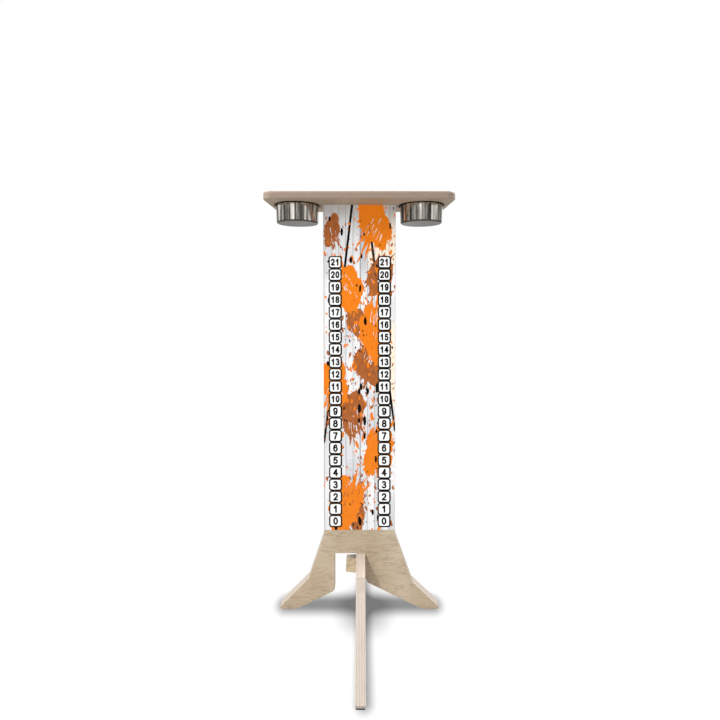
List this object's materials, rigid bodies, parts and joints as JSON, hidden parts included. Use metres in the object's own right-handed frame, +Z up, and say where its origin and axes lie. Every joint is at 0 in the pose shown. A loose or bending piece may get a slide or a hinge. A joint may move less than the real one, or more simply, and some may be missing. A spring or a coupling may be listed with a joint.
{
  "type": "score tower",
  "caption": "Plywood score tower for a lawn bag toss game: flared upright on a cross leg, small tabletop holding drop-in steel drink cups, printed score film on the front.",
  "frame": {"origin": "on the floor, under the middle of the object", "axes": "+Z up, -Y towards the person who reads the score, +X to that person's right"},
  "size_m": [0.391, 0.3972, 0.9148],
  "materials": {
    "birch_plywood": "sanded birch plywood with plies showing on the cut edges",
    "beech": "bare beech dowel",
    "printed_film": "satin printed vinyl film",
    "polished_steel": "polished stainless steel sheet",
    "zinc_screw": "zinc plated",
    "black_rubber": "matt black rubber"
  },
  "bodies": {
    "tower": {"upright_board": "birch_plywood", "cross_leg": "birch_plywood", "tabletop": "birch_plywood", "lock_key": "birch_plywood", "leg_dowel": "beech", "score_print": "printed_film", "tabletop_screws": "zinc_screw", "foot_pad_front": "black_rubber", "foot_pad_rear": "black_rubber"},
    "cup_left": {"cup_left": "polished_steel"},
    "cup_right": {"cup_right": "polished_steel"}
  },
  "joints": [
    {"name": "cup_left_lift", "type": "slide", "parent": "tower", "child": "cup_left", "axis": [0, 0, 1], "range_m": [0, 0.07]},
    {"name": "cup_right_lift", "type": "slide", "parent": "tower", "child": "cup_right", "axis": [0, 0, 1], "range_m": [0, 0.07]}
  ]
}
